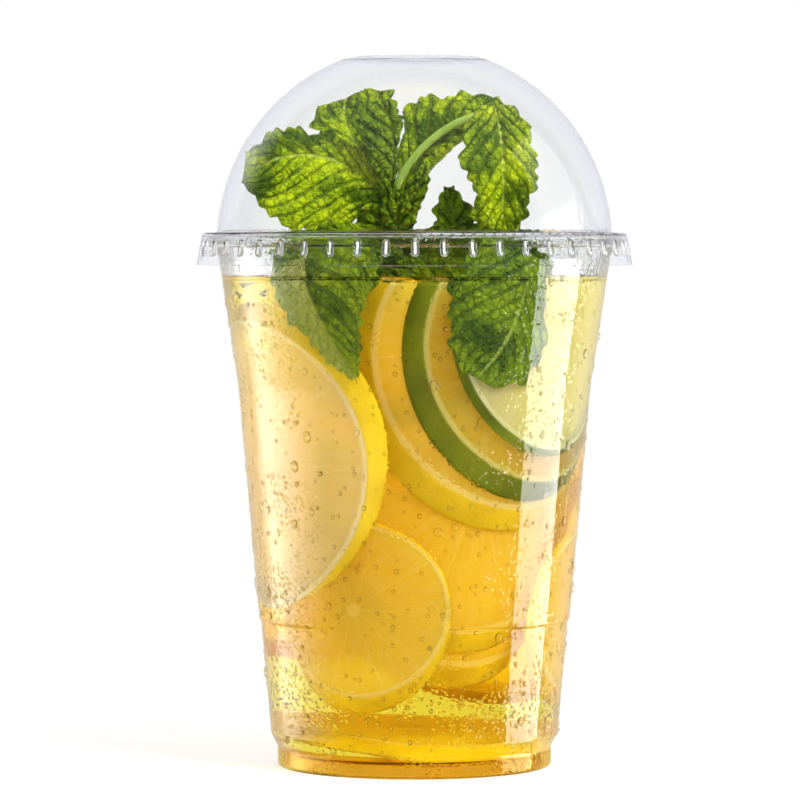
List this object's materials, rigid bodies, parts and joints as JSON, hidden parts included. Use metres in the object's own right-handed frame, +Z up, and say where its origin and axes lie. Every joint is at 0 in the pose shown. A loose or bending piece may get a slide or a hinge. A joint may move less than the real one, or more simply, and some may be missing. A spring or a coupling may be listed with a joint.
{
  "type": "plastic cup with lid",
  "caption": "Clear tapered plastic cup with rolled rim and clear dome lid that lifts off, filled with yellow citrus drink, lemon and lime slices and mint.",
  "frame": {"origin": "middle of the surface that the cup stands on", "axes": "+Z up along the cup's axis; -Y is the front"},
  "size_m": [0.0994, 0.0994, 0.1616],
  "materials": {
    "cup_clear": "clear thin polyester sheet, glossy, wet outside",
    "lid_clear": "clear thin polyester sheet, glossy",
    "drink": "clear yellow liquid",
    "lemon": "wet lemon slice: yellow rind, pale pith, translucent flesh",
    "lime": "wet lime slice: green rind, pale pith, translucent flesh",
    "mint_leaf": "soft quilted leaf with pale veins",
    "mint_stem": "smooth green stalk"
  },
  "bodies": {
    "cup": {"cup": "cup_clear", "drink": "drink", "lemon_slice_1": "lemon", "lemon_slice_10": "lemon", "lemon_slice_11": "lemon", "lemon_slice_2": "lemon", "lemon_slice_3": "lemon", "lemon_slice_4": "lemon", "lemon_slice_5": "lemon", "lemon_slice_6": "lemon", "lemon_slice_7": "lemon", "lemon_slice_8": "lemon", "lemon_slice_9": "lemon", "lime_slice_1": "lime", "lime_slice_2": "lime", "lime_slice_3": "lime", "mint_branch": "mint_stem", "mint_leaf_1": "mint_leaf", "mint_leaf_10": "mint_leaf", "mint_leaf_11": "mint_leaf", "mint_leaf_2": "mint_leaf", "mint_leaf_3": "mint_leaf", "mint_leaf_4": "mint_leaf", "mint_leaf_5": "mint_leaf", "mint_leaf_6": "mint_leaf", "mint_leaf_7": "mint_leaf", "mint_leaf_8": "mint_leaf", "mint_leaf_9": "mint_leaf", "mint_stem": "mint_stem"},
    "lid": {"dome_lid": "lid_clear"}
  },
  "joints": [
    {"name": "lid_lift", "type": "slide", "parent": "cup", "child": "lid", "axis": [0, 0, 1], "range_m": [0, 0.055]}
  ]
}
